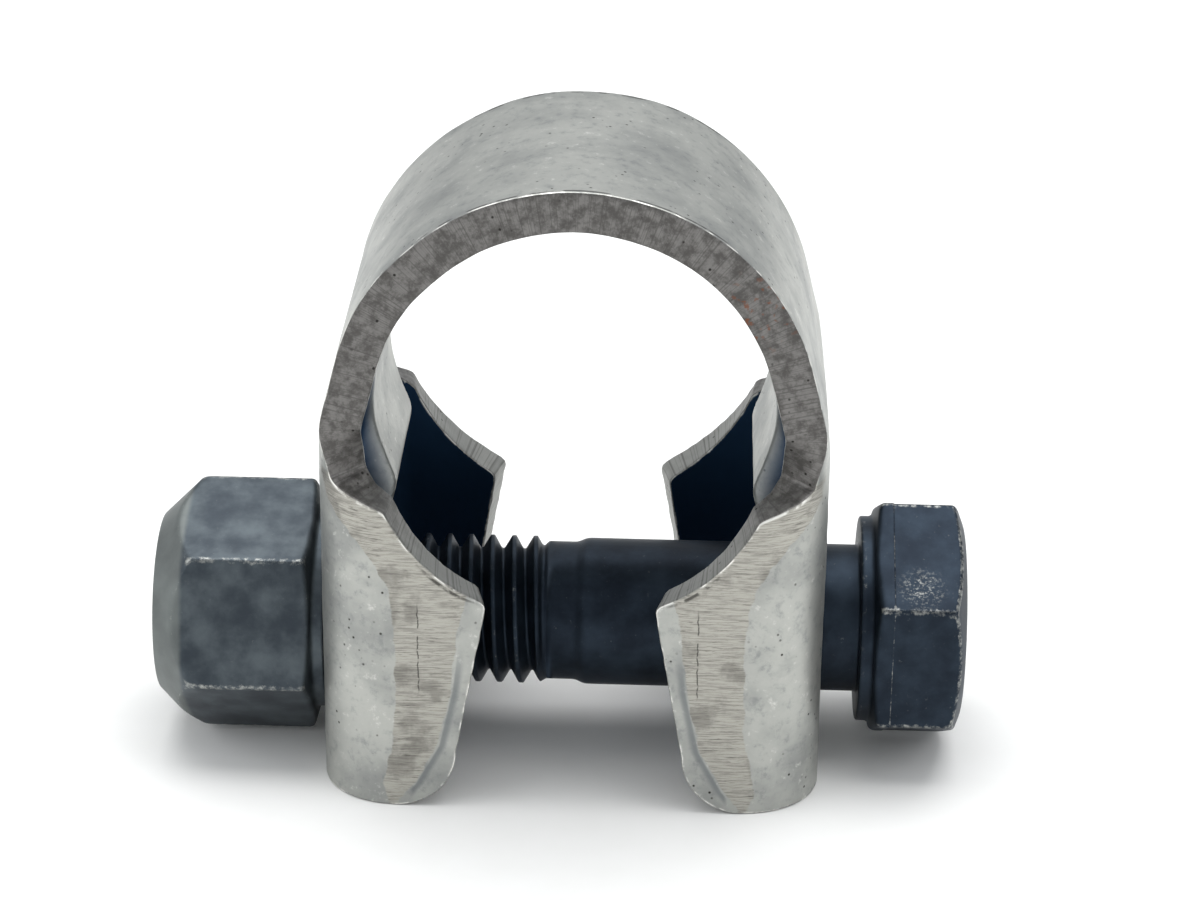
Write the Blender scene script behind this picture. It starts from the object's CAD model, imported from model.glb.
"""Looks of the tube clamp: the pressed band, its bolt and its lock nut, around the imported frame."""

import logging
import math
from dataclasses import dataclass
from enum import Enum

import bmesh
import bpy
import numpy as np
from mathutils import Matrix, Vector


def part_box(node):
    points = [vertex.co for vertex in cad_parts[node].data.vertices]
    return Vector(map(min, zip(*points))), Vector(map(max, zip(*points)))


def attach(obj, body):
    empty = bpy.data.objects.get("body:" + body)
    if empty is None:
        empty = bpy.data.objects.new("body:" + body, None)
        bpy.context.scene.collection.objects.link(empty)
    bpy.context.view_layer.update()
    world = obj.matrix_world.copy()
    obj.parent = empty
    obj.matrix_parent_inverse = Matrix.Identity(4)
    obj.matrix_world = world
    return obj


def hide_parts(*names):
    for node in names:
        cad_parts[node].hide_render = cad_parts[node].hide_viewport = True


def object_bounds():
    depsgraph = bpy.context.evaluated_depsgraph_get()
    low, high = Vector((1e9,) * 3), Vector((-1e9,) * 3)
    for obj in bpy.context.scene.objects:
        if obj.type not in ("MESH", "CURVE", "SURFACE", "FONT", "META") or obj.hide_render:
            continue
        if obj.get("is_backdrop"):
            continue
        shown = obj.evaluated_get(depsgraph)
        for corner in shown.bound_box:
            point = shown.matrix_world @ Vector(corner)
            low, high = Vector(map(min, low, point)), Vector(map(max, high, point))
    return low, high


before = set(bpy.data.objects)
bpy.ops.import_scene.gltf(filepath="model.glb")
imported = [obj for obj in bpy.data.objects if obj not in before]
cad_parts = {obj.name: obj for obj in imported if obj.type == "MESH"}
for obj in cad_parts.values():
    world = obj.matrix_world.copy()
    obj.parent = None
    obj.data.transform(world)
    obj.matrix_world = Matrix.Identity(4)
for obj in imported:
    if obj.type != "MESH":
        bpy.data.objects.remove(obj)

LOG = logging.getLogger("tube_clamp")
MM = 0.001


class Mark(Enum):
    """Values kept on the vertices, for the finishes to read."""

    ALONG = "along"          # mm along the strip that the band is pressed from
    RIM = "rim"              # mm from the nearest cut edge, on the faces of the strip
    SHEAR = "shear"          # 1 on the cut edges, 0 on the faces of the strip
    GROUND = "ground"        # mm inside the ground patch, negative outside it
    INSIDE = "inside"        # 1 on the inner face of the strip
    WEAR = "wear"            # 1 on an edge that handling has rubbed bright, 0 away from it


# ---------------------------------------------------------------------------------------------
# Small tools
# ---------------------------------------------------------------------------------------------

def linear(code: str) -> tuple[float, float, float, float]:
    """Turns an sRGB hex colour to linear values.

    Args:
        code: the colour as "#rrggbb".

    Returns:
        Red, green, blue and an alpha of 1.
    """
    parts = [int(code[i:i + 2], 16) / 255 for i in (1, 3, 5)]
    turned = [p / 12.92 if p <= 0.04045 else ((p + 0.055) / 1.055) ** 2.4 for p in parts]
    return (*turned, 1.0)


def ease(value: np.ndarray, start: float, end: float) -> np.ndarray:
    """Goes smoothly from 0 at start to 1 at end.

    Args:
        value: where to work it out.
        start: the value that gives 0.
        end: the value that gives 1.

    Returns:
        The eased share, the shape of value.
    """
    share = np.clip((value - start) / (end - start), 0.0, 1.0)
    return share * share * (3 - 2 * share)


def ripple(points: np.ndarray, length: float, seed: int) -> np.ndarray:
    """Gives a smooth seeded waviness.

    Args:
        points: coordinates in mm, one row each.
        length: the typical wavelength in mm.
        seed: picks the pattern.

    Returns:
        One value from about -1 to 1 for each point.
    """
    draw = np.random.default_rng(seed)
    waves = 7
    heading = draw.normal(size=(waves, points.shape[-1]))
    heading /= np.linalg.norm(heading, axis=1)[:, None]
    pace = 2 * math.pi / (length * draw.uniform(0.6, 1.7, waves))
    phase = draw.uniform(0, 2 * math.pi, waves)
    return np.sin(points @ heading.T * pace + phase).sum(axis=-1) / math.sqrt(waves)


class MeshDraft:
    """Collects points in mm, faces and vertex values, and makes one mesh object of them."""

    def __init__(self) -> None:
        """Starts with nothing."""
        self.points: list[np.ndarray] = []
        self.faces: list[np.ndarray] = []
        self.fans: list[tuple[int, int, int]] = []
        self.marks: dict[Mark, list[np.ndarray]] = {}
        self.count = 0

    def add(self, points: np.ndarray, marks: dict[Mark, np.ndarray | float]) -> np.ndarray:
        """Adds a block of points.

        Args:
            points: an array whose last axis is x, y, z in mm.
            marks: vertex values, one number or an array of the block's shape.

        Returns:
            The points' numbers, in the block's shape.
        """
        shape = points.shape[:-1]
        total = int(np.prod(shape))
        for mark, value in marks.items():
            kept = self.marks.setdefault(mark, [np.zeros(self.count)])
            kept.append(np.broadcast_to(np.asarray(value, float), shape).ravel())
        self.points.append(points.reshape(-1, 3))
        ids = np.arange(self.count, self.count + total).reshape(shape)
        self.count += total
        for mark, kept in self.marks.items():
            if mark not in marks:
                kept.append(np.zeros(total))
        return ids

    def skin(self, ids: np.ndarray, keep: np.ndarray | None = None) -> None:
        """Covers a grid of points with quads.

        Args:
            ids: the points' numbers, rows by columns.
            keep: which quads to make, or all of them.
        """
        quads = np.stack([ids[:-1, :-1], ids[1:, :-1], ids[1:, 1:], ids[:-1, 1:]], axis=-1)
        self.faces.append(quads[keep] if keep is not None else quads.reshape(-1, 4))

    def hub(self, ring: np.ndarray, centre: int) -> None:
        """Closes a ring of points with triangles to one point.

        Args:
            ring: the ring's numbers in order, without the first one again.
            centre: the middle point's number.
        """
        self.fans += [(int(a), int(b), centre) for a, b in zip(ring, np.roll(ring, -1))]

    def build(self, name: str) -> bpy.types.Object:
        """Makes the object, smooth shaded, with all its faces turned outwards.

        Args:
            name: the object's name.

        Returns:
            The new object, in metres.
        """
        mesh = bpy.data.meshes.new(name)
        faces = np.concatenate(self.faces).tolist() + self.fans
        mesh.from_pydata((np.concatenate(self.points) * MM).tolist(), [], faces)
        for mark, kept in self.marks.items():
            stored = mesh.attributes.new(mark.value, "FLOAT", "POINT")
            stored.data.foreach_set("value", np.concatenate(kept).astype(np.float32))
        work = bmesh.new()
        work.from_mesh(mesh)
        bmesh.ops.recalc_face_normals(work, faces=work.faces)
        work.to_mesh(mesh)
        work.free()
        mesh.shade_smooth()
        made = bpy.data.objects.new(name, mesh)
        bpy.context.scene.collection.objects.link(made)
        return made


# ---------------------------------------------------------------------------------------------
# Finishes
# ---------------------------------------------------------------------------------------------

def add_node(
    tree: bpy.types.NodeTree, kind: str, feeds: dict | None = None, **settings
) -> bpy.types.Node:
    """Adds a node with its settings and links.

    Args:
        tree: the node tree.
        kind: the node's type name.
        feeds: for each input, by name or number, a value or the output that feeds it.
        settings: the node's own properties.

    Returns:
        The new node.
    """
    made = tree.nodes.new(kind)
    for name, value in settings.items():
        setattr(made, name, value)
    for socket, value in (feeds or {}).items():
        if isinstance(value, bpy.types.NodeSocket):
            tree.links.new(value, made.inputs[socket])
        else:
            made.inputs[socket].default_value = value
    return made


class Palette:
    """The node tree of one material, with the few patterns that its finish is made of."""

    def __init__(self, name: str) -> None:
        """Starts a material whose patterns are measured in mm.

        Args:
            name: the material's name.
        """
        self.material = bpy.data.materials.new(name)
        self.material.use_nodes = True
        self.tree = self.material.node_tree
        self.tree.nodes.clear()
        place = add_node(self.tree, "ShaderNodeTexCoord").outputs["Object"]
        self.mm = add_node(
            self.tree, "ShaderNodeVectorMath", {0: place, 3: 1 / MM}, operation="SCALE"
        ).outputs[0]

    def mark(self, mark: Mark) -> bpy.types.NodeSocket:
        """Reads a value kept on the vertices."""
        return add_node(
            self.tree, "ShaderNodeAttribute", attribute_name=mark.value
        ).outputs["Fac"]

    def maths(self, operation: str, *values: object) -> bpy.types.NodeSocket:
        """Works out one sum of numbers or outputs."""
        return add_node(
            self.tree, "ShaderNodeMath", dict(enumerate(values)), operation=operation
        ).outputs[0]

    def stretched(self, scales: tuple[float, float, float]) -> bpy.types.NodeSocket:
        """Gives the position in mm, multiplied axis by axis."""
        return add_node(
            self.tree, "ShaderNodeVectorMath", {0: self.mm, 1: scales}, operation="MULTIPLY"
        ).outputs[0]

    def grain(
        self, spacing: float, detail: float = 3.0, vector: object = None, rough: float = 0.55
    ) -> bpy.types.NodeSocket:
        """Makes a cloudy pattern.

        Args:
            spacing: the typical distance between its blotches, in mm.
            detail: how many finer layers it has.
            vector: where it is worked out, or the plain position in mm.
            rough: how strong the finer layers are.

        Returns:
            A value from 0 to 1.
        """
        feeds = {"Vector": vector or self.mm, "Scale": 1 / spacing, "Detail": detail, "Roughness": rough}
        return add_node(self.tree, "ShaderNodeTexNoise", feeds).outputs["Fac"]

    def lines(self, spacing: float, along: object, detail: float = 2.0) -> bpy.types.NodeSocket:
        """Makes a pattern that changes only with one number, such as marks across an edge."""
        feeds = {"W": along, "Scale": 1 / spacing, "Detail": detail}
        return add_node(
            self.tree, "ShaderNodeTexNoise", feeds, noise_dimensions="1D"
        ).outputs["Fac"]

    def specks(self, spacing: float, radius: float) -> bpy.types.NodeSocket:
        """Makes small round spots.

        Args:
            spacing: the distance between neighbours, in mm.
            radius: a spot's radius, in mm.

        Returns:
            1 in a spot, 0 outside.
        """
        feeds = {"Vector": self.mm, "Scale": 1 / spacing, "Randomness": 1.0}
        near = add_node(self.tree, "ShaderNodeTexVoronoi", feeds).outputs["Distance"]
        return self.step(near, radius / spacing, radius / spacing * 0.4)

    def step(self, value: object, start: float, end: float) -> bpy.types.NodeSocket:
        """Goes smoothly from 0 at start to 1 at end."""
        if start < end:
            feeds = {"Value": value, "From Min": start, "From Max": end}
            return add_node(
                self.tree, "ShaderNodeMapRange", feeds, interpolation_type="SMOOTHSTEP"
            ).outputs[0]
        feeds = {"Value": value, "From Min": end, "From Max": start, "To Min": 1.0, "To Max": 0.0}
        return add_node(
            self.tree, "ShaderNodeMapRange", feeds, interpolation_type="SMOOTHSTEP"
        ).outputs[0]

    def near(self, point: tuple[float, float, float], reach: float) -> bpy.types.NodeSocket:
        """Gives 1 at a point in mm, falling to 0 at the given reach."""
        gap = add_node(
            self.tree, "ShaderNodeVectorMath", {0: self.mm, 1: point}, operation="DISTANCE"
        ).outputs["Value"]
        return self.step(gap, reach, reach * 0.35)

    def blend(self, share: object, low: object, high: object) -> bpy.types.NodeSocket:
        """Mixes two colours, each a hex code or an output."""
        low = linear(low) if isinstance(low, str) else low
        high = linear(high) if isinstance(high, str) else high
        return add_node(
            self.tree, "ShaderNodeMix", {0: share, 6: low, 7: high}, data_type="RGBA"
        ).outputs[2]

    def mingle(self, share: object, low: object, high: object) -> bpy.types.NodeSocket:
        """Mixes two numbers."""
        return add_node(self.tree, "ShaderNodeMix", {0: share, 2: low, 3: high}).outputs[0]

    def relief(self, height: object, depth: float, before: object = None) -> bpy.types.NodeSocket:
        """Turns a 0 to 1 pattern to bumps.

        Args:
            height: the pattern.
            depth: the height of the bumps in mm.
            before: bumps that these are added to.

        Returns:
            The surface normal.
        """
        feeds = {"Height": height, "Distance": depth * MM, "Strength": 1.0}
        if before is not None:
            feeds["Normal"] = before
        return add_node(self.tree, "ShaderNodeBump", feeds).outputs[0]

    def finish(
        self, colour: object, metallic: object, roughness: object, normal: object
    ) -> bpy.types.Material:
        """Ends the material with its surface shader."""
        feeds = {
            "Base Color": colour, "Metallic": metallic, "Roughness": roughness, "Normal": normal,
        }
        shader = add_node(self.tree, "ShaderNodeBsdfPrincipled", feeds)
        add_node(self.tree, "ShaderNodeOutputMaterial", {0: shader.outputs[0]})
        return self.material


@dataclass(frozen=True)
class RawPressedSteel:
    """Hot-rolled mild steel strip, blanked, pressed and left bare.

    The faces are pale, satin and slightly cloudy. The blanked edges are darker and mottled,
    with fine marks across the thickness. The flanges are ground where they were trimmed, with
    hair-fine scratches. Blue-black scale is left inside the ears, where nothing rubs it.
    """

    pale: str = "#b4b5b0"
    smudge: str = "#8f918f"
    ground: str = "#aeaca4"
    scratch: str = "#55524e"
    cut: str = "#7f7d7b"
    cut_dark: str = "#575553"
    cut_pale: str = "#9c9d99"
    dent: str = "#74787a"
    bright: str = "#ecebe6"
    scale: str = "#1b3550"
    speck: str = "#2e2c2a"
    rust: str = "#7a4a33"

    def build(self) -> bpy.types.Material:
        """Makes the material."""
        p = Palette("raw_pressed_steel")
        cloud = p.grain(7.0, 5.0)
        fine = p.grain(0.35, 3.0)
        smear = p.grain(2.4, 4.0, p.stretched((0.5, 0.25, 1.0)))
        colour = p.blend(p.step(cloud, 0.35, 0.75), self.pale, self.smudge)
        colour = p.blend(p.maths("MULTIPLY", p.step(smear, 0.56, 0.72), 0.45), colour, self.smudge)
        mottled = p.grain(1.1, 6.0, None, 0.7)
        colour = p.blend(p.maths("MULTIPLY", p.step(mottled, 0.5, 0.72), 0.5), colour, self.dent)
        colour = p.blend(p.maths("MULTIPLY", p.step(mottled, 0.42, 0.28), 0.45), colour, self.bright)
        rough = p.mingle(cloud, 0.36, 0.52)

        # Pits and dirt from the rolling, 0.1 to 0.2 mm across.
        pits = p.maths("MULTIPLY", p.specks(0.9, 0.15), p.step(p.grain(4.0, 2.0), 0.48, 0.6))
        colour = p.blend(pits, colour, self.speck)

        # Grinding runs across the ears, so its scratches are long in X and 0.1 mm apart in Z.
        hairs = p.grain(1.0, 5.0, p.stretched((0.45, 0.45, 10.0)), 0.75)
        marks = p.grain(1.0, 4.0, p.stretched((0.5, 0.5, 4.5)), 0.7)
        wander = p.maths("MULTIPLY_ADD", p.grain(1.6, 3.0), 0.9, -0.45)
        on_ground = p.step(p.maths("ADD", p.mark(Mark.GROUND), wander), -0.08, 0.1)
        ground = p.blend(p.maths("MULTIPLY", p.step(hairs, 0.44, 0.62), 0.5), self.ground, self.scratch)
        ground = p.blend(p.maths("MULTIPLY", p.step(marks, 0.54, 0.7), 0.7), ground, self.scratch)
        stained = p.step(p.grain(3.2, 4.0, None, 0.6), 0.5, 0.66)
        ground = p.blend(p.maths("MULTIPLY", stained, 0.45), ground, self.scratch)
        colour = p.blend(on_ground, colour, ground)
        rough = p.mingle(on_ground, rough, 0.34)

        # Scale stays on the inner faces of the ears, and thins out towards the ring.
        axes = add_node(p.tree, "ShaderNodeSeparateXYZ", {0: p.mm}).outputs
        beside = p.step(p.maths("ABSOLUTE", axes[1]), 7.0, 8.3)
        level = p.maths("ADD", axes[2], p.maths("MULTIPLY", cloud, 2.0))
        deep = p.mingle(beside, p.step(level, -11.0, -14.0), p.step(level, 8.0, 2.5))
        scaled = p.maths("MULTIPLY", deep, p.mark(Mark.INSIDE))
        colour = p.blend(scaled, colour, self.scale)
        rough = p.mingle(scaled, rough, 0.6)

        # A shallow dent runs along the ground patch, towards the flange's free edge.
        patch = p.mark(Mark.GROUND)
        beside_patch = p.maths("MULTIPLY", p.step(patch, -0.85, -0.35), p.step(patch, -0.02, -0.22))
        past_hole = p.step(p.maths("ABSOLUTE", axes[0]), 12.6, 12.2)
        low_down = p.maths("MULTIPLY", p.step(axes[2], -17.0, -22.0), past_hole)
        dent = p.maths("MULTIPLY", beside_patch, low_down)
        colour = p.blend(p.maths("MULTIPLY", dent, 0.75), colour, self.dent)

        # Hairline cracks from the pressing, one down each front flange.
        sway = p.maths("MULTIPLY_ADD", p.lines(2.5, axes[2], 4.0), 0.7, -0.35)
        crossing = p.maths("ADD", axes[0], sway)
        left = p.maths("ABSOLUTE", p.maths("ADD", crossing, 11.8))
        right = p.maths("ABSOLUTE", p.maths("ADD", crossing, -9.9))
        hairline = p.step(p.maths("MINIMUM", left, right), 0.075, 0.03)
        tall = p.maths("MULTIPLY", p.step(axes[2], -14.2, -15.5), p.step(axes[2], -23.0, -21.5))
        tall = p.maths("MULTIPLY", tall, p.step(axes[1], -12.0, -13.0))
        broken = p.step(p.lines(1.1, axes[2], 3.0), 0.34, 0.5)
        hairline = p.maths("MULTIPLY", p.maths("MULTIPLY", hairline, tall), broken)
        colour = p.blend(p.maths("MULTIPLY", hairline, 0.75), colour, self.speck)

        # A dark crease under the burr, near each flange's tip.
        rim = p.mark(Mark.RIM)
        crease = p.maths("MULTIPLY", p.step(rim, 0.22, 0.34), p.step(rim, 0.62, 0.44))
        by_tip = p.step(p.maths("ABSOLUTE", axes[0]), 12.5, 10.5)
        tip = p.maths("MULTIPLY", by_tip, p.step(axes[2], -15.0, -13.8))
        outside = p.maths("SUBTRACT", 1.0, p.mark(Mark.INSIDE))
        patchy = p.maths("MULTIPLY", outside, p.step(p.grain(1.4, 3.0), 0.44, 0.56))
        crease = p.maths("MULTIPLY", p.maths("MULTIPLY", crease, tip), patchy)
        colour = p.blend(p.maths("MULTIPLY", crease, 0.8), colour, self.speck)

        # The blanked edge: torn and mottled, with marks every 0.15 mm across the thickness.
        cut = p.step(p.mark(Mark.SHEAR), 0.45, 0.75)
        mottle = p.blend(p.step(p.grain(0.9, 6.0, None, 0.7), 0.36, 0.64), self.cut_dark, self.cut)
        far = p.step(p.maths("ABSOLUTE", p.mark(Mark.ALONG)), 34.5, 41.0)
        mottle = p.blend(p.maths("MULTIPLY", far, 0.85), mottle, self.cut_pale)
        across = p.lines(0.16, p.mark(Mark.ALONG), 3.0)
        mottle = p.blend(p.maths("MULTIPLY", p.step(across, 0.48, 0.72), 0.65), mottle, self.cut_dark)
        dirt = p.maths("MULTIPLY", p.specks(0.9, 0.16), p.step(p.grain(3.0, 2.0), 0.5, 0.6))
        mottle = p.blend(dirt, mottle, self.speck)
        rusty = p.maths("MULTIPLY", p.step(p.grain(0.7, 3.0), 0.56, 0.66), p.near((14, -12, 9.5), 4.0))
        mottle = p.blend(p.maths("MULTIPLY", rusty, 0.7), mottle, self.rust)
        colour = p.blend(cut, colour, mottle)
        rough = p.mingle(cut, rough, 0.5)

        # The blanking burr, a broken bright line along the edge.
        edge = p.step(p.mark(Mark.RIM), 0.3, 0.05)
        lit = p.maths("MULTIPLY", edge, p.step(p.grain(1.3, 4.0), 0.46, 0.6))
        colour = p.blend(p.maths("MULTIPLY", lit, p.maths("SUBTRACT", 1.0, cut)), colour, self.bright)

        normal = p.relief(p.grain(0.9, 4.0), 0.02)
        normal = p.relief(fine, 0.006, normal)
        normal = p.relief(p.maths("MULTIPLY", hairs, on_ground), 0.012, normal)
        normal = p.relief(p.maths("MULTIPLY", across, cut), 0.02, normal)
        return p.finish(colour, 0.85, rough, normal)


@dataclass(frozen=True)
class BlackOxideSteel:
    """Heat-treated alloy steel with a hot black-oxide conversion coat.

    The coat is blue-black and satin. It is thin, so corners and edges are rubbed through to
    bright steel in small dots, and flat faces carry faint handling marks. A crown that is coned
    cold has a paler, greyer coat.
    """

    name: str
    coat: str
    coat_light: str
    bright: str = "#b4b5b0"
    crown: str = "#848883"
    crown_at: float = -100.0
    scuff_at: tuple[float, float, float] = (0.0, 0.0, 100.0)

    def build(self) -> bpy.types.Material:
        """Makes the material."""
        p = Palette(self.name)
        cloud = p.grain(3.0, 5.0)
        tooth = p.grain(0.25, 2.0)
        colour = p.blend(p.step(cloud, 0.3, 0.75), self.coat, self.coat_light)
        along = add_node(p.tree, "ShaderNodeSeparateXYZ", {0: p.mm}).outputs[0]
        coned = p.step(along, self.crown_at, self.crown_at - 0.5)
        colour = p.blend(p.maths("MULTIPLY", coned, p.mingle(cloud, 0.3, 0.65)), colour, self.crown)
        handled = p.maths("MULTIPLY", p.step(p.grain(0.4, 5.0, None, 0.7), 0.62, 0.8), 0.16)
        colour = p.blend(handled, colour, self.bright)
        rubbed = p.step(p.grain(0.28, 4.0, None, 0.75), 0.5, 0.66)
        scuffs = p.maths("MULTIPLY", rubbed, p.near(self.scuff_at, 2.6))
        colour = p.blend(p.maths("MULTIPLY", scuffs, 0.55), colour, self.bright)
        patchy = p.maths("MULTIPLY", p.grain(0.5, 5.0, None, 0.75), p.mingle(p.grain(3.5, 2.0), 0.75, 1.2))
        worn = p.step(p.maths("MULTIPLY", p.mark(Mark.WEAR), patchy), 0.4, 0.66)
        worn = p.maths("MULTIPLY", worn, p.mingle(p.grain(1.8, 3.0), 0.25, 1.1))
        colour = p.blend(worn, colour, self.bright)
        rough = p.mingle(worn, p.mingle(cloud, 0.4, 0.55), 0.3)
        normal = p.relief(cloud, 0.02)
        normal = p.relief(tooth, 0.006, normal)
        return p.finish(colour, 0.8, rough, normal)


@dataclass(frozen=True)
class StudioPaper:
    """Matt white background paper, rolled out flat: even, with a barely visible fibre."""

    sheet: str = "#f5f5f4"
    fibre: str = "#f1f1ef"

    def build(self) -> bpy.types.Material:
        """Makes the material."""
        p = Palette("studio_paper")
        fibres = p.grain(4.0, 4.0)
        return p.finish(p.blend(fibres, self.sheet, self.fibre), 0.0, 0.9, p.relief(fibres, 0.01))


# ---------------------------------------------------------------------------------------------
# The band
# ---------------------------------------------------------------------------------------------

@dataclass
class Band:
    """The pressed band: a flat blank, bent to a ring with a channel-shaped ear at each end.

    Sizes are in mm. "Along" is measured on the strip's middle line from the top of the ring,
    and "across" from that line towards the strip's edges.
    """

    thickness: float = 3.2
    ring_half_width: float = 12.0
    bore_radius: float = 15.5
    wall_lean: float = math.radians(14.0)
    wall_bend: float = 20.0
    web_half: float = 8.0
    corner_radius: float = 6.0
    corner_turn: float = math.radians(82.0)
    crown_radius: float = 22.0
    edge_arc: float = 15.9
    tip_half_gap: float = 6.4
    tip_height: float = -14.55
    edge_lean: float = math.radians(10.5)
    bottom_radius: float = 5.0
    pad_half: float = 8.1
    pad_top: float = 5.0
    pad_run: float = 8.5
    pad_height: float = 2.95
    hole_radius: float = 6.5
    hole_height: float = -21.8
    rim_radius: float = 0.18
    seat_relief: float = 0.01
    columns: int = 151

    def __post_init__(self) -> None:
        """Takes the overall sizes from the CAD piece."""
        low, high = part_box("clamp_band")
        self.ring_radius = high.z / MM
        self.web_outer = high.x / MM
        self.half_depth = high.y / MM
        self.bottom = low.z / MM
        self.ring_run = self.ring_radius * (math.pi / 2 - self.wall_lean)
        rise = 1 - math.cos(self.wall_lean)
        set_out = self.web_outer - self.ring_radius
        self.wall_run = (self.ring_radius * rise + set_out - self.wall_bend * rise) / math.sin(
            self.wall_lean
        )
        self.bend_run = self.wall_bend * self.wall_lean
        self.shoulder_at = self.ring_run + self.wall_run + self.bend_run
        self.shoulder_height = float(self.middle_line(np.array([self.shoulder_at]))[1][0])
        self.end_at = self.shoulder_at + self.shoulder_height - self.bottom
        reach = np.linspace(0, 32, 1281)
        self.reach_table = reach
        self.inward_table = self.profile(reach, np.ones_like(reach))[1]

    def middle_line(self, along: np.ndarray) -> tuple[np.ndarray, np.ndarray, np.ndarray]:
        """Follows the outer face down the middle of the strip.

        Args:
            along: distances from the top of the ring, negative on the -X side.

        Returns:
            x, z and the heading angle, which is 0 at the top and a right angle on the ears.
        """
        far = np.abs(along)
        start = math.pi / 2 - self.wall_lean
        on_ring = np.clip(far, 0, self.ring_run) / self.ring_radius
        on_wall = np.clip(far - self.ring_run, 0, self.wall_run)
        on_bend = np.clip(far - self.ring_run - self.wall_run, 0, self.bend_run) / self.wall_bend
        on_ear = np.clip(far - self.ring_run - self.wall_run - self.bend_run, 0, None)
        x = self.ring_radius * np.sin(on_ring) + on_wall * math.cos(start)
        x += self.wall_bend * (np.sin(start + on_bend) - math.sin(start))
        z = self.ring_radius * np.cos(on_ring) - on_wall * math.sin(start) - on_ear
        z += self.wall_bend * (np.cos(start + on_bend) - math.cos(start))
        return np.sign(along) * x, z, on_ring + on_bend

    def profile(self, across: np.ndarray, bent: np.ndarray) -> tuple[np.ndarray, np.ndarray]:
        """Bends the strip across its width: a tight corner, then a slightly crowned flange.

        Args:
            across: distances from the middle line, not negative.
            bent: the share of the bend that is formed there, from 0 to 1.

        Returns:
            The distance along the tube, and how far the face has come in from the web.
        """
        bent = np.maximum(bent, 1e-4)
        tight = bent / self.corner_radius
        slack = bent / self.crown_radius
        corner_run = self.corner_radius * self.corner_turn
        turned = tight * np.clip(across - self.web_half, 0, corner_run)
        more = slack * np.clip(across - self.web_half - corner_run, 0, None)
        out = np.minimum(across, self.web_half) + np.sin(turned) / tight
        out += (np.sin(turned + more) - np.sin(turned)) / slack
        inward = (1 - np.cos(turned)) / tight
        inward += (np.cos(turned) - np.cos(turned + more)) / slack
        return out, inward

    def face(self, along: np.ndarray, across: np.ndarray) -> np.ndarray:
        """Gives the outer face before grinding, as points in mm."""
        x, z, heading = self.middle_line(along)
        bent = ease(z, 0.0, -6.0)
        out, inward = self.profile(np.abs(across), bent)
        side = np.sign(along)
        x = x - side * np.sin(heading) * inward
        z = z - np.cos(heading) * inward
        return np.stack([x, np.sign(across) * out, z], axis=-1)

    def normal(self, along: np.ndarray, across: np.ndarray) -> np.ndarray:
        """Gives the outer face's unit normal."""
        d = 0.02
        run = self.face(along + d, across) - self.face(along - d, across)
        wide = self.face(along, across + d) - self.face(along, across - d)
        across_both = np.cross(run, wide)
        return across_both / np.linalg.norm(across_both, axis=-1)[..., None]

    def place(self, along: np.ndarray, across: np.ndarray, depth: np.ndarray) -> np.ndarray:
        """Puts points of the flat blank on the bent band.

        Args:
            along: distance along the strip.
            across: distance across it.
            depth: distance below the outer face.

        Returns:
            The points in mm, with the pads pressed in and the flanges ground flat.
        """
        outer = self.face(along, across)
        normal = self.normal(along, across)
        wave = ripple(outer, 9.0, 3) * 0.035 + ripple(outer, 3.1, 4) * 0.012
        point = outer - normal * (depth + wave + 0.05)[..., None]
        x, z, _ = self.middle_line(along)
        inner = depth / self.thickness
        lift = self.pad_lift(x, z) * ease(np.abs(across), self.pad_half + 0.35, self.pad_half - 0.9)
        point[..., 0] -= np.sign(along) * lift * inner
        seat = self.web_outer - self.seat_relief
        point[..., 0] = np.clip(point[..., 0], -seat, seat)
        point[..., 1] = np.clip(point[..., 1], -self.half_depth, self.half_depth)
        point[..., 2] = np.maximum(point[..., 2], self.bottom)
        return point

    def pad_lift(self, x: np.ndarray, z: np.ndarray) -> np.ndarray:
        """Gives how far the inner face of a side wall is pressed towards the bore."""
        wall = np.abs(x) - self.thickness * 0.995
        bore = np.sqrt(np.clip(self.bore_radius**2 - z**2, 0.01, None))
        on_bore = np.where(z < 3.6, np.clip(wall - bore, 0, None), 0.0) * ease(z, 3.6, 1.5)
        run = np.clip((-z - self.pad_top) / self.pad_run, 0, 1)
        run_out = self.pad_height * (1 - run * run)
        soft = 0.25
        return np.clip(-soft * np.logaddexp(-on_bore / soft, -run_out / soft), 0, None)

    def half_width(self, z: np.ndarray, inset: float) -> np.ndarray:
        """Gives the blank's half width where the middle line is at a height.

        Args:
            z: heights in mm.
            inset: how far inside the true outline.

        Returns:
            The half widths.
        """
        arc = np.sqrt(np.clip((self.edge_arc + inset) ** 2 - z**2, 0.04, None))
        lean = math.tan(self.edge_lean)
        centre = self.bottom + self.bottom_radius
        free = self.tip_half_gap + inset / math.cos(self.edge_lean)
        free = free + np.clip(self.tip_height - np.maximum(z, centre), -3.0, None) * lean
        low = np.clip(centre - z, 0, self.bottom_radius - inset)
        round_off = self.bottom_radius - inset
        free = free + round_off - np.sqrt(round_off**2 - low**2)
        soft = 0.35
        edge = soft * np.logaddexp(arc / soft, free / soft)
        edge = np.where(z < self.tip_height - 3, free, edge)
        flange = np.interp(self.web_outer - edge, self.inward_table, self.reach_table)
        ring = self.ring_half_width - inset
        return ring + (flange - ring) * ease(z, -5.0, -7.2)

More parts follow.
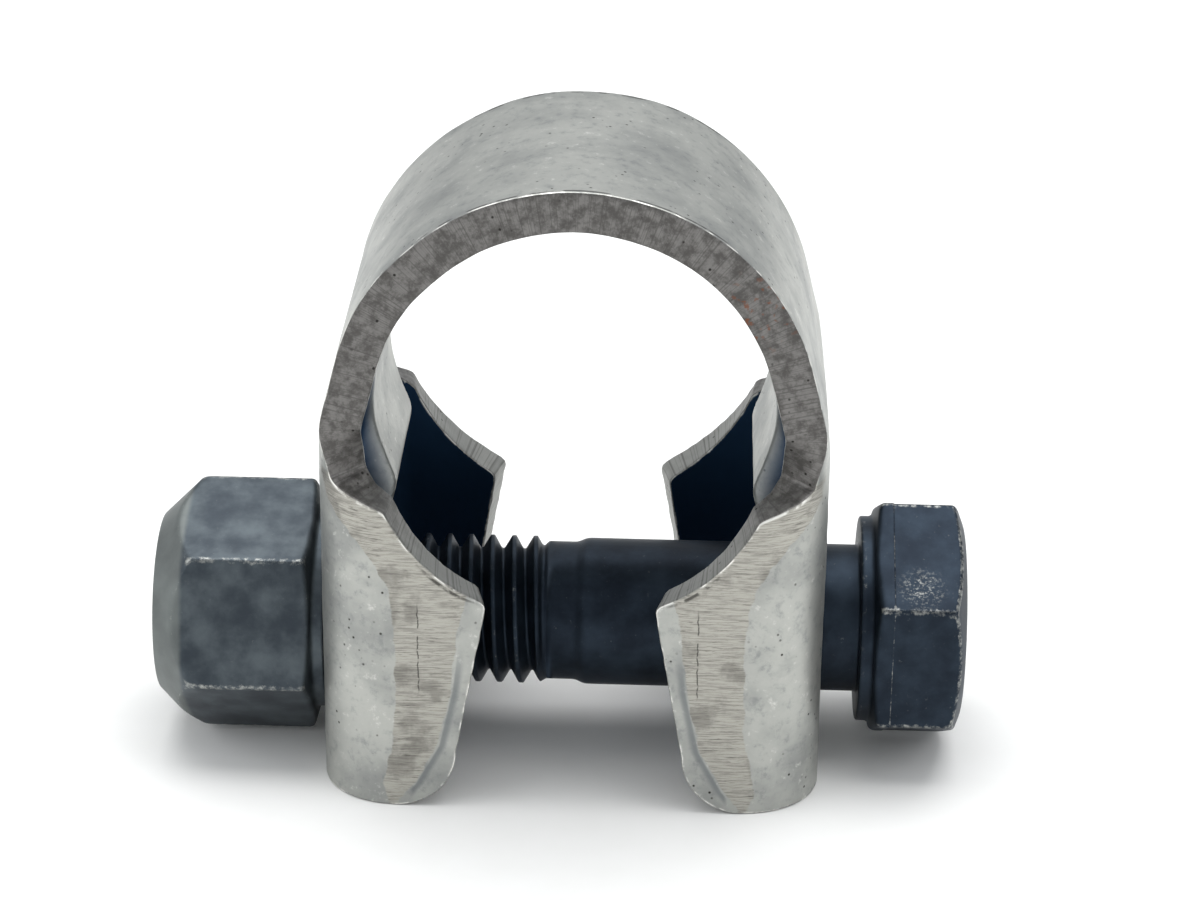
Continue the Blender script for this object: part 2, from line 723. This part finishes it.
    def stations(self) -> np.ndarray:
        """Lists the rows of the mesh, close together at the shoulders and the bottom corners."""
        s, end = self.shoulder_at, self.end_at - self.rim_radius
        turn = np.linspace(0, math.pi / 2, 17)
        low = self.bottom_radius - self.rim_radius
        parts = [
            np.linspace(0, s - 1.5, 64),
            np.linspace(s - 1.5, s + 4.5, 64),
            np.linspace(s + 4.5, s + 12.0, 30),
            np.linspace(s + 12.0, end - low, 26),
            end - low + low * np.sin(turn),
        ]
        half = np.unique(np.round(np.concatenate(parts), 5))
        return np.concatenate([-half[:0:-1], half])

    def ground_patch(self, points: np.ndarray) -> np.ndarray:
        """Gives how far points are inside the ground patches on the flanges, in mm."""
        x, y, z = np.abs(points[..., 0]), np.abs(points[..., 1]), points[..., 2]
        heights = np.array([-32.0, -30.5, -27.0, -22.0, -16.0, -13.0, -11.0, -9.0, -7.0, -5.0])
        outer = np.array([14.2, 14.6, 13.9, 13.6, 13.6, 14.2, 15.3, 17.0, 18.9, 19.4])
        inner = np.array([13.4, 12.2, 10.3, 9.2, 8.5, 7.6, 7.0, 7.0, 7.0, 7.0])
        inside = np.minimum(np.interp(z, heights, outer) - x, x - np.interp(z, heights, inner))
        inside = np.minimum(inside, -4.6 - z)
        return np.clip(np.where(y > 9.0, inside, -2.0), -2.0, 2.0)

    def rim(
        self, draft: MeshDraft, along: np.ndarray, across: np.ndarray,
        top: np.ndarray, under: np.ndarray,
    ) -> None:
        """Closes the blank's edge, rounded at both faces, from the outer grid to the inner one.

        Args:
            draft: the mesh being made.
            along: the edge points' place along the strip, in order round a closed loop.
            across: their place across it.
            top: the same points' numbers on the outer face.
            under: their numbers on the inner face.
        """
        run_a = np.roll(along, -1) - np.roll(along, 1)
        run_c = np.roll(across, -1) - np.roll(across, 1)
        length = np.hypot(run_a, run_c)
        out_a, out_c = run_c / length, -run_a / length
        r, t = self.rim_radius, self.thickness
        turn = np.linspace(0, math.pi / 2, 5)[1:]
        steps = [(r * math.sin(a), r * (1 - math.cos(a)), math.sin(a)) for a in turn]
        steps += [(r, d, 1.0) for d in np.linspace(r, t - r, 10)[1:-1]]
        steps += [(r * math.sin(a), t - r * (1 - math.cos(a)), math.sin(a)) for a in turn[::-1]]
        rows = [top]
        for out, depth, cut in steps:
            seat = np.stack([along, across, np.full_like(along, depth)], axis=-1)
            tear = ripple(seat, 1.6, 8) * 0.025 * cut
            a, c = along + out_a * (out - tear - 0.02 * cut), across + out_c * (out - tear - 0.02 * cut)
            points = self.place(a, c, np.full_like(along, depth))
            marks = {
                Mark.ALONG: along, Mark.SHEAR: cut, Mark.GROUND: self.ground_patch(points),
                Mark.INSIDE: 0.0, Mark.RIM: 0.0,
            }
            rows.append(draft.add(points, marks))
        rows.append(under)
        grid = np.stack(rows)
        draft.skin(np.concatenate([grid, grid[:, :1]], axis=1))

    def build(self) -> bpy.types.Object:
        """Makes the band's mesh.

        Returns:
            The band.
        """
        rows = self.stations()
        z = self.middle_line(rows)[1]
        share = np.linspace(-1, 1, self.columns)
        along = np.repeat(rows[:, None], self.columns, axis=1)
        half = self.half_width(z, self.rim_radius)
        across = half[:, None] * share[None, :]
        slope = np.gradient(self.half_width(z, 0.0), rows)
        rim = (self.half_width(z, 0.0)[:, None] - np.abs(across)) / np.hypot(1, slope)[:, None]
        rim = np.minimum(rim, self.end_at - np.abs(along))
        in_window = self.hole_window(z, share)
        draft = MeshDraft()
        grids = []
        for depth, inside in ((0.0, 0.0), (self.thickness, 1.0)):
            points = self.place(along, across, np.full_like(along, depth))
            marks = {
                Mark.ALONG: along, Mark.RIM: np.clip(rim, 0, 3), Mark.SHEAR: 0.0,
                Mark.GROUND: self.ground_patch(points) if inside == 0 else -2.0,
                Mark.INSIDE: inside,
            }
            grids.append(draft.add(points, marks))
        used = ~in_window
        for ids in grids:
            draft.skin(ids, used)
        loop = self.loop_of(np.ones((len(rows) - 1, self.columns - 1), bool))
        flat_a, flat_c = along[loop], across[loop]
        self.rim(draft, flat_a, flat_c, grids[0][loop], grids[1][loop])
        for side in (-1, 1):
            mask = in_window & ((rows[:-1] * side > 0)[:, None])
            self.hole(draft, along, across, grids, self.loop_of(mask), side)
        self.drop_unused(draft)
        return draft.build("clamp_band_pressed")

    def hole_window(self, z: np.ndarray, share: np.ndarray) -> np.ndarray:
        """Marks the quads round the bolt holes, which radial rings of points replace."""
        gap = self.hole_radius + 1.2
        rows = (z[:-1] < self.hole_height + gap) & (z[:-1] > self.hole_height - gap)
        rows &= (z[1:] < self.hole_height + gap) & (z[1:] > self.hole_height - gap)
        middle = np.abs((share[:-1] + share[1:]) / 2) < 0.36
        return rows[:, None] & middle[None, :]

    def loop_of(self, mask: np.ndarray) -> tuple[np.ndarray, np.ndarray]:
        """Lists the grid points round a rectangle of quads, in order."""
        r, c = np.nonzero(mask)
        r0, r1, c0, c1 = r.min(), r.max() + 1, c.min(), c.max() + 1
        up, wide = np.arange(r0, r1), np.arange(c0, c1)
        rows = np.concatenate([up, np.full(len(wide), r1), up[::-1] + 1, np.full(len(wide), r0)])
        cols = np.concatenate([np.full(len(up), c0), wide, np.full(len(up), c1), wide[::-1] + 1])
        return rows, cols

    def hole(
        self, draft: MeshDraft, along: np.ndarray, across: np.ndarray,
        grids: list[np.ndarray], loop: tuple[np.ndarray, np.ndarray], side: int,
    ) -> None:
        """Makes one bolt hole, with rings of points from a window in the grid to its edge."""
        centre = side * (self.shoulder_at + self.shoulder_height - self.hole_height)
        a, c = along[loop], across[loop]
        angle = np.arctan2(c, a - centre)
        radius = self.hole_radius + self.rim_radius
        end_a, end_c = centre + radius * np.cos(angle), radius * np.sin(angle)
        edges = []
        for grid, depth, inside in ((grids[0], 0.0, 0.0), (grids[1], self.thickness, 1.0)):
            rows = [grid[loop]]
            for share in np.linspace(0, 1, 6)[1:]:
                points = self.place(
                    a + (end_a - a) * share, c + (end_c - c) * share, np.full_like(a, depth)
                )
                marks = {
                    Mark.ALONG: a, Mark.RIM: (1 - share) * 2 + 0.1, Mark.SHEAR: 0.0,
                    Mark.GROUND: -2.0, Mark.INSIDE: inside,
                }
                rows.append(draft.add(points, marks))
            grid_rows = np.stack(rows)
            draft.skin(np.concatenate([grid_rows, grid_rows[:, :1]], axis=1))
            edges.append(rows[-1])
        self.rim(draft, end_a[::-1], end_c[::-1], edges[0][::-1], edges[1][::-1])

    def drop_unused(self, draft: MeshDraft) -> None:
        """Takes out the grid points inside the hole windows, which no face uses."""
        faces = np.concatenate(draft.faces)
        used = np.zeros(draft.count, bool)
        used[faces.ravel()] = True
        number = np.cumsum(used) - 1
        draft.points = [np.concatenate(draft.points)[used]]
        draft.marks = {mark: [np.concatenate(kept)[used]] for mark, kept in draft.marks.items()}
        draft.faces = [number[faces]]
        draft.count = int(used.sum())


# ---------------------------------------------------------------------------------------------
# The bolt and the nut
# ---------------------------------------------------------------------------------------------

@dataclass
class Thread:
    """A right-hand metric thread about a line along X, in mm."""

    pitch: float = 1.75
    radius: float = 6.0
    depth: float = 1.05
    root_half: float = 0.11
    groove_at: float = -23.89
    flank: float = math.radians(30.0)

    def groove(self, x: np.ndarray, angle: np.ndarray) -> np.ndarray:
        """Gives the groove's depth below the crest, with slightly rounded corners."""
        turns = (x - self.groove_at) / self.pitch - angle / (2 * math.pi)
        gap = np.abs(turns - np.round(turns)) * self.pitch
        soft = 0.035
        rise = (gap - self.root_half) / math.tan(self.flank)
        rise = soft * np.logaddexp(0, rise / soft)
        return np.clip(self.depth - rise, 0, None)


@dataclass
class Hexagon:
    """A hexagonal prism about a line along X, with slightly rounded corners, in mm."""

    across_flats: float = 18.0
    corner_round: float = 0.35
    turn: float = 0.0

    def angles(self) -> np.ndarray:
        """Lists the directions of the mesh's columns, close together at the corners."""
        inset = (self.across_flats / 2 - self.corner_round) * math.tan(math.pi / 6)
        flat = math.atan(inset / (self.across_flats / 2))
        sector = np.concatenate([
            np.linspace(-flat, flat, 17)[:-1], np.linspace(flat, math.pi / 3 - flat, 7)[:-1]
        ])
        return (np.arange(6)[:, None] * math.pi / 3 + sector[None, :]).ravel() + self.turn

    def reach(self, angle: np.ndarray) -> np.ndarray:
        """Gives the distance from the axis to the side faces."""
        third = math.pi / 3
        off = np.abs((angle - self.turn + third / 2) % third - third / 2)
        half = self.across_flats / 2
        centre = (half - self.corner_round) / math.cos(third / 2)
        side = centre * np.sin(third / 2 - off)
        rounded = centre * np.cos(third / 2 - off) + np.sqrt(
            np.clip(self.corner_round**2 - side**2, 0, None)
        )
        flat = math.atan((half - self.corner_round) * math.tan(third / 2) / half)
        return np.where(off < flat, half / np.cos(off), rounded)

    def corner(self, angle: np.ndarray) -> np.ndarray:
        """Gives 1 on the corner edges and 0 away from them."""
        third = math.pi / 3
        off = np.abs((angle - self.turn + third / 2) % third - third / 2)
        return ease(off, third / 2 - 0.05, third / 2 - 0.015)


def filleted(corners: list[tuple], radii: list[float], runs: list[int], arc: int = 4) -> np.ndarray:
    """Samples a profile that is different in each direction, with its corners rounded.

    Args:
        corners: x and radius of each corner, each a number or an array over the directions.
        radii: the rounding at each corner, in mm.
        runs: how many parts each straight stretch is cut into.
        arc: how many parts each rounding is cut into.

    Returns:
        The points as an array of rows by directions by 2.
    """
    shape = np.broadcast(*[np.asarray(v) for pair in corners for v in pair]).shape
    full = [
        np.stack([np.broadcast_to(np.asarray(v, float), shape) for v in pair], axis=-1)
        for pair in corners
    ]
    rows = []
    leave = full[0]
    for number in range(1, len(full)):
        before, here = full[number - 1], full[number]
        last = number == len(full) - 1
        back = before - here
        back_length = np.linalg.norm(back, axis=-1)[..., None]
        if last or radii[number] == 0:
            enter = after = here
        else:
            ahead = full[number + 1] - here
            ahead_length = np.linalg.norm(ahead, axis=-1)[..., None]
            cut = np.minimum(radii[number], 0.45 * np.minimum(back_length, ahead_length))
            enter, after = here + back / back_length * cut, here + ahead / ahead_length * cut
        for share in np.linspace(0, 1, runs[number - 1] + 1)[:-1]:
            rows.append(leave + (enter - leave) * share)
        if not last and radii[number] > 0:
            for share in np.linspace(0, 1, arc + 1)[:-1]:
                rows.append((1 - share) ** 2 * enter + 2 * share * (1 - share) * here + share**2 * after)
        leave = after
    rows.append(full[-1])
    return np.stack(rows)


class Turned:
    """A piece made round the bolt's axis."""

    def __init__(self, node: str, hexagon: Hexagon) -> None:
        """Takes the axis from the CAD piece.

        Args:
            node: the CAD piece.
            hexagon: its hexagon.
        """
        low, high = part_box(node)
        self.low, self.high = low.x / MM, high.x / MM
        self.axis_height = (low.z + high.z) / 2 / MM
        self.hexagon = hexagon
        self.angle = hexagon.angles()
        self.draft = MeshDraft()

    def shell(self, x: np.ndarray, radius: np.ndarray, wear: np.ndarray | float) -> np.ndarray:
        """Adds rows of points round the axis, covered with faces.

        Args:
            x: rows by directions.
            radius: rows by directions.
            wear: the rubbed share, as a number or rows by directions.

        Returns:
            The points' numbers.
        """
        points = np.stack([
            x, radius * np.cos(self.angle), self.axis_height + radius * np.sin(self.angle)
        ], axis=-1)
        ids = self.draft.add(points, {Mark.WEAR: wear})
        self.draft.skin(np.concatenate([ids, ids[:, :1]], axis=1))
        return ids

    def join(self, one: np.ndarray, other: np.ndarray) -> None:
        """Joins two rings of points with faces."""
        grid = np.stack([one, other])
        self.draft.skin(np.concatenate([grid, grid[:, :1]], axis=1))

    def cap(self, ring: np.ndarray, x: float) -> None:
        """Closes a ring with a point on the axis."""
        centre = self.draft.add(np.array([[x, 0.0, self.axis_height]]), {Mark.WEAR: 0.0})
        self.draft.hub(ring, int(centre[0]))


@dataclass
class HexBolt:
    """The M12 hexagon bolt: rolled thread, undercut neck, plain shank and forged head. In mm."""

    thread: Thread
    shank_radius: float = 5.95
    neck_radius: float = 5.6
    thread_end: float = -2.2
    neck_end: float = 0.0
    neck_taper: float = 0.8
    tip_chamfer: float = 1.0
    head_height: float = 8.4
    collar_radius: float = 8.3
    collar_height: float = 1.0
    seat_bevel: float = 0.5
    top_radius: float = 7.7
    top_bevel: float = 1.0
    forging_line: float = 1.5
    forging_step: float = 0.07
    rows_a_pitch: int = 22

    def build(self) -> bpy.types.Object:
        """Makes the bolt's mesh.

        Returns:
            The bolt.
        """
        hexagon = Hexagon(turn=math.radians(60.0))
        piece = Turned("clamp_bolt", hexagon)
        angle = piece.angle
        tip = piece.low
        count = round((self.thread_end - tip) / self.thread.pitch * self.rows_a_pitch)
        x = np.repeat(np.linspace(tip, self.thread_end, count)[:, None], len(angle), axis=1)
        groove = self.thread.groove(x, angle[None, :])
        fade = ease(x, self.thread_end, self.thread_end - 0.9)
        radius = self.thread.radius - groove
        radius = self.neck_radius + (radius - self.neck_radius) * fade
        radius = np.minimum(radius, self.thread.radius - self.tip_chamfer + (x - tip) * 1.0)
        crest = ease(radius, self.thread.radius - 0.12, self.thread.radius) * 0.75
        wind = piece.shell(x, radius, crest)
        piece.cap(wind[0], tip)

        seat = piece.high - self.head_height
        reach = hexagon.reach(angle)
        step_at = seat + self.collar_height + self.forging_line
        slope = self.top_bevel / (reach.max() - self.top_radius)
        seat_slope = self.seat_bevel / (reach.max() - self.collar_radius)
        upper = reach - self.forging_step
        corners = [
            (self.thread_end, self.neck_radius),
            (self.neck_end, self.neck_radius),
            (self.neck_end + self.neck_taper, self.shank_radius),
            (seat - 0.01, self.shank_radius),
            (seat, self.shank_radius + 0.55),
            (seat, self.collar_radius),
            (seat + self.collar_height, self.collar_radius),
            (seat + self.collar_height + (reach - self.collar_radius) * seat_slope, reach),
            (step_at, reach),
            (step_at + 0.1, upper),
            (piece.high - (upper - self.top_radius) * slope, upper),
            (piece.high, self.top_radius),
            (piece.high, 2.0),
            (piece.high, 0.4),
        ]
        radii = [0, 0.25, 0.3, 0.5, 0.3, 0.22, 0.3, 0.45, 0.05, 0.05, 0.3, 0.35, 0, 0]
        runs = [4, 2, 40, 1, 3, 3, 4, 4, 1, 10, 3, 10, 3]
        rows = filleted(corners, radii, runs)
        side = (rows[..., 0] > seat + self.collar_height + 0.3) & (rows[..., 1] > reach - 0.4)
        wear = hexagon.corner(angle)[None, :] * side
        line = np.exp(-((rows[..., 0] - step_at - 0.05) / 0.1) ** 2) * side
        top_edge = np.exp(-((rows[..., 0] - corners[10][0][None, :]) / 0.32) ** 2) * side * 1.25
        collar = ((rows[..., 1] > self.collar_radius - 0.3) & (rows[..., 1] < self.collar_radius + 0.1)
                  & (rows[..., 0] < seat + 0.4)) * 0.8
        wear = np.clip(wear + line * 0.95 + top_edge * 0.95 + collar, 0, 1)
        body = piece.shell(rows[..., 0], rows[..., 1], wear)
        piece.join(wind[-1], body[0])
        piece.cap(body[-1], piece.high)
        return piece.draft.build("hex_bolt")


@dataclass
class LockNut:
    """The all-metal lock nut: a tall hexagon with a collar at its seat and a conical crown. In mm."""

    thread: Thread
    turn: float = math.radians(45.0)
    crown_radius: float = 7.2
    crown_height: float = 3.2
    collar_radius: float = 8.3
    collar_height: float = 1.0
    seat_bevel: float = 0.5
    band_height: float = 10.1
    band_draw: float = 0.1
    countersink: float = 0.9
    thread_clearance: float = 0.18
    rows_a_pitch: int = 22

    def build(self) -> bpy.types.Object:
        """Makes the nut's mesh.

        Returns:
            The nut.
        """
        hexagon = Hexagon(turn=self.turn)
        piece = Turned("lock_nut", hexagon)
        angle = piece.angle
        seat, end = piece.high, piece.low
        height = seat - end
        reach = hexagon.reach(angle)
        drawn = reach - self.band_draw
        slope = self.crown_height / (reach.max() - self.crown_radius)
        seat_slope = self.seat_bevel / (reach.max() - self.collar_radius)
        mouth = self.thread.radius + self.thread_clearance + self.countersink
        arc_height = height - (drawn - self.crown_radius) * slope
        band_at = np.minimum(self.band_height, arc_height - 0.25)
        corners = [
            (seat - self.countersink, mouth - self.countersink),
            (seat, mouth),
            (seat, self.collar_radius),
            (seat - self.collar_height, self.collar_radius),
            (seat - self.collar_height - (reach - self.collar_radius) * seat_slope, reach),
            (seat - band_at, reach),
            (seat - arc_height, drawn),
            (end, self.crown_radius),
            (end, mouth),
            (end + self.countersink, mouth - self.countersink),
        ]
        radii = [0, 0.2, 0.25, 0.3, 0.4, 0.1, 0.35, 0.7, 0.15, 0]
        runs = [2, 3, 3, 4, 12, 3, 10, 3, 2]
        rows = filleted(corners, radii, runs)
        x, r = rows[..., 0], rows[..., 1]
        side = (r > reach - 0.4) & (x < seat - self.collar_height - 0.2)
        wear = hexagon.corner(angle)[None, :] * side
        arc = np.exp(-((x - (seat - arc_height)[None, :]) / 0.25) ** 2) * side * 0.85
        low = np.exp(-((x - corners[4][0][None, :]) / 0.2) ** 2) * side * 0.85
        rim = np.exp(-((r - self.crown_radius) / 0.4) ** 2) * (x < end + 0.4) * 0.7
        outside = piece.shell(x, r, np.clip(wear + arc + low + rim, 0, 1))

        count = round((height - 1.8) / self.thread.pitch * self.rows_a_pitch)
        bore_line = np.linspace(end + self.countersink, seat - self.countersink, count)
        bore_x = np.repeat(bore_line[:, None], len(angle), axis=1)
        bore = self.thread.radius + self.thread_clearance - self.thread.groove(bore_x, angle[None, :])
        bore[0] = bore[-1] = mouth - self.countersink
        inside = piece.shell(bore_x[1:-1], bore[1:-1], 0.0)
        piece.join(outside[-1], inside[0])
        piece.join(inside[-1], outside[0])
        return piece.draft.build("lock_nut_crowned")


# ---------------------------------------------------------------------------------------------
# The studio
# ---------------------------------------------------------------------------------------------

@dataclass
class Studio:
    """A white paper floor, soft lights and the camera. Lengths in metres."""

    azimuth: float = math.radians(1.622)
    elevation: float = math.radians(24.227)
    roll: float = math.radians(0.779)
    distance: float = 0.276006
    lens: float = 103.767
    target: tuple[float, float, float] = (0.001744, 0.0, -0.00743)
    floor_size: float = 3.0

    def floor(self, height: float) -> bpy.types.Object:
        """Lays the paper at the height of the lowest point."""
        draft = MeshDraft()
        edge = np.linspace(-0.5, 0.5, 9) * self.floor_size / MM
        x, y = np.meshgrid(edge, edge, indexing="ij")
        draft.skin(draft.add(np.stack([x, y, np.full_like(x, height / MM)], axis=-1), {}))
        made = draft.build("floor")
        made.data.materials.append(StudioPaper().build())
        made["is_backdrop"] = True
        return made

    def light(self, name: str, place: tuple, size: tuple[float, float], power: float) -> None:
        """Hangs one soft box that faces the object.

        Args:
            name: the light's name.
            place: where it is.
            size: its width and height.
            power: in watts.
        """
        data = bpy.data.lights.new(name, "AREA")
        data.shape = "RECTANGLE"
        data.size, data.size_y = size
        data.energy = power
        made = bpy.data.objects.new(name, data)
        made.location = place
        made.rotation_euler = (-Vector(place)).to_track_quat("-Z", "Y").to_euler()
        bpy.context.scene.collection.objects.link(made)

    def lights(self) -> None:
        """Hangs the soft boxes and sets the even light of the room."""
        self.light("soft_box_top", (0.02, 0.2, 0.9), (1.0, 0.8), 8.5)
        self.light("soft_box_left", (-0.8, -0.25, 0.45), (0.7, 0.6), 2.2)
        self.light("soft_box_right", (0.8, -0.3, 0.5), (0.7, 0.6), 1.8)
        world = bpy.data.worlds.new("room")
        world.use_nodes = True
        shade = world.node_tree.nodes["Background"]
        shade.inputs["Color"].default_value = linear("#eef1f4")
        shade.inputs["Strength"].default_value = 0.68
        bpy.context.scene.world = world

    def camera(self) -> None:
        """Sets up the camera that looks slightly down on the clamp's open side."""
        flat = math.cos(self.elevation)
        level = Vector((math.sin(self.azimuth) * flat, -math.cos(self.azimuth) * flat, 0.0))
        back = level + Vector((0.0, 0.0, math.sin(self.elevation)))
        right = (-back).cross(Vector((0, 0, 1))).normalized()
        up = right.cross(-back)
        turned_right = right * math.cos(self.roll) + up * math.sin(self.roll)
        turned_up = up * math.cos(self.roll) - right * math.sin(self.roll)
        pose = Matrix((turned_right, turned_up, back)).transposed().to_4x4()
        pose.translation = Vector(self.target) + back * self.distance
        data = bpy.data.cameras.new("camera")
        data.lens = self.lens
        data.sensor_width = 36.0
        data.sensor_fit = "HORIZONTAL"
        data.clip_start = 0.01
        made = bpy.data.objects.new("camera", data)
        made.matrix_world = pose
        bpy.context.scene.collection.objects.link(made)
        bpy.context.scene.camera = made


# ---------------------------------------------------------------------------------------------
# Putting it together
# ---------------------------------------------------------------------------------------------

def dress(
    piece: bpy.types.Object, material: bpy.types.Material, body: str, node: str
) -> None:
    """Gives a piece its finish and ties it to the frame.

    Args:
        piece: the new piece.
        material: its finish.
        body: the CAD body that it moves with.
        node: the CAD node that it stands for.
    """
    piece.data.materials.append(material)
    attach(piece, body)
    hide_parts(node)
    LOG.info("%s: %d faces", piece.name, len(piece.data.polygons))


def corners_of(bounds: object) -> list[list[float]]:
    """Turns a box to plain lists of numbers."""
    return [[float(v) for v in corner] for corner in bounds]


def main() -> None:
    logging.basicConfig(level=logging.INFO, format="%(message)s")
    cad_box = corners_of(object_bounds())
    dress(Band().build(), RawPressedSteel().build(), "band", "clamp_band")
    bolt_coat = BlackOxideSteel("black_oxide_bolt_steel", "#17202b", "#2b3642", scuff_at=(27.5, -6.5, -16.5))
    dress(HexBolt(Thread()).build(), bolt_coat.build(), "bolt", "clamp_bolt")
    nut_coat = BlackOxideSteel("black_oxide_nut_steel", "#383f46", "#5c6469", crown_at=-30.9)
    dress(LockNut(Thread()).build(), nut_coat.build(), "nut", "lock_nut")
    studio = Studio()
    studio.floor(cad_box[0][2])
    studio.lights()
    studio.camera()
    bpy.context.scene.view_settings.view_transform = "Standard"


if __name__ == "__main__":
    main()
